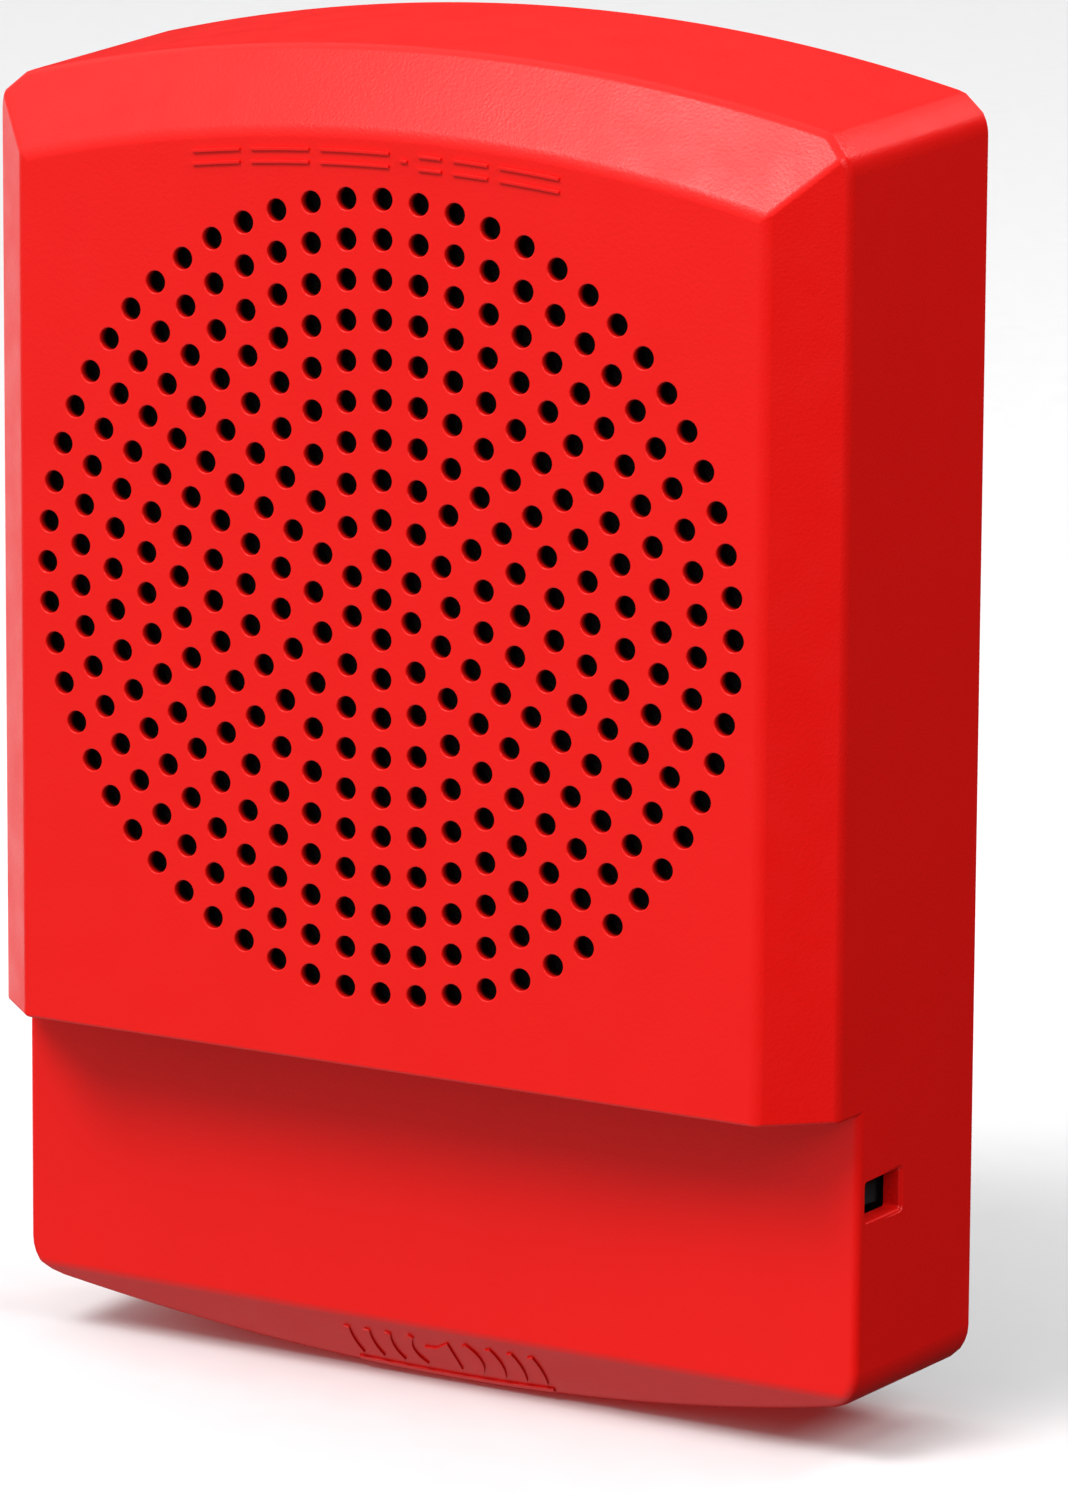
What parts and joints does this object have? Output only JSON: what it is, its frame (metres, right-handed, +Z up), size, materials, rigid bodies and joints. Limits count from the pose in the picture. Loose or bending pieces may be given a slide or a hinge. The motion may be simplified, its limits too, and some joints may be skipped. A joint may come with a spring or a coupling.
{
  "type": "fire alarm sounder",
  "caption": "Wall-mounted red fire-alarm loudspeaker sounder with round-hole grille, housing hooked at the top and held by side latches, driver, circuit board and mounting plate.",
  "frame": {"origin": "middle of the mounting plate's back face, on the wall, at the housing's mid-height", "axes": "+Z up, front faces -Y, +Y into the wall, +X to the right as seen from the front"},
  "size_m": [0.125, 0.041, 0.1754],
  "materials": {
    "red_abs": "satin moulded plastic",
    "black_cloth": "matt woven cloth",
    "black_foam": "matt closed-cell foam",
    "zinc_steel": "zinc-plated pressed steel",
    "treated_cloth": "doped cloth",
    "cone_paper": "pressed paper pulp",
    "cap_paper": "pressed paper pulp",
    "coil_copper": "lacquered copper wire",
    "spider_cloth": "phenolic cloth",
    "plated_steel": "zinc-plated steel",
    "ferrite": "ground ferrite",
    "phenolic_board": "phenolic board",
    "green_laminate": "solder-masked glass laminate",
    "lamination_steel": "stacked steel laminations",
    "winding_tape": "polyester winding tape",
    "film_capacitor_case": "moulded epoxy case",
    "can_sleeve": "shrunk sleeve on an aluminium can",
    "black_nylon": "moulded nylon",
    "white_nylon": "moulded nylon",
    "grey_abs": "fine-grained moulded plastic",
    "grey_acetal": "moulded acetal",
    "screw_steel": "zinc-plated steel",
    "contact_brass": "tinned brass",
    "red_insulation": "flexible vinyl insulation",
    "black_insulation": "flexible vinyl insulation",
    "tinsel_copper": "braided tinsel wire"
  },
  "bodies": {
    "mounting_plate": {"mounting_plate": "grey_abs", "terminal_block": "black_nylon", "contact_strip_positive": "contact_brass", "contact_strip_negative": "contact_brass", "terminal_screw_1": "screw_steel", "terminal_screw_2": "screw_steel", "terminal_screw_3": "screw_steel", "terminal_screw_4": "screw_steel"},
    "housing": {"front_cover": "red_abs", "grille_scrim": "black_cloth", "driver_gasket": "black_foam", "driver_basket": "zinc_steel", "surround": "treated_cloth", "spider": "spider_cloth", "top_plate": "plated_steel", "magnet": "ferrite", "back_plate": "plated_steel", "driver_terminal_strip": "phenolic_board", "tinsel_lead_left": "tinsel_copper", "tinsel_lead_right": "tinsel_copper", "driver_screw_1": "screw_steel", "driver_screw_2": "screw_steel", "driver_screw_3": "screw_steel", "driver_screw_4": "screw_steel", "circuit_board": "green_laminate", "transformer_core": "lamination_steel", "transformer_winding": "winding_tape", "blocking_capacitor": "film_capacitor_case", "filter_capacitor": "can_sleeve", "power_selector_body": "black_nylon", "voltage_selector_body": "plated_steel", "board_screw_1": "screw_steel", "board_screw_2": "screw_steel", "board_screw_3": "screw_steel", "board_screw_4": "screw_steel", "contact_pin_positive": "contact_brass", "contact_pin_negative": "contact_brass", "speaker_lead_positive": "red_insulation", "speaker_lead_negative": "black_insulation"},
    "cone_assembly": {"cone": "cone_paper", "dust_cap": "cap_paper", "voice_coil": "coil_copper"},
    "power_dial": {"power_selector_dial": "white_nylon"},
    "voltage_slider": {"voltage_selector_slider": "white_nylon"},
    "left_latch": {"latch_left": "grey_acetal"},
    "right_latch": {"latch_right": "grey_acetal"}
  },
  "joints": [
    {"name": "housing_swing", "type": "hinge", "parent": "mounting_plate", "child": "housing", "pos_m": [0, -0.0008, 0.087], "axis": [-1, 0, 0], "range_deg": [0, 25], "deforming": ["latch_left", "latch_right"]},
    {"name": "cone_travel", "type": "slide", "parent": "housing", "child": "cone_assembly", "axis": [0, -1, 0], "range_m": [-0.0012, 0.0012], "stiffness_N_per_m": 2500, "deforming": ["surround", "spider", "tinsel_lead_left", "tinsel_lead_right"]},
    {"name": "power_select", "type": "hinge", "parent": "housing", "child": "power_dial", "pos_m": [0.0245, -0.014, -0.0665], "axis": [0, 1, 0], "range_deg": [0, 120]},
    {"name": "voltage_select", "type": "slide", "parent": "housing", "child": "voltage_slider", "axis": [1, 0, 0], "range_m": [0, 0.0025]},
    {"name": "left_release", "type": "hinge", "parent": "mounting_plate", "child": "left_latch", "pos_m": [-0.0567, -0.0018, -0.0539], "axis": [0, 0, 1], "range_deg": [0, 7], "stiffness_Nm_per_rad": 0.8},
    {"name": "right_release", "type": "hinge", "parent": "mounting_plate", "child": "right_latch", "pos_m": [0.0567, -0.0018, -0.0539], "axis": [0, 0, -1], "range_deg": [0, 7], "stiffness_Nm_per_rad": 0.8}
  ]
}
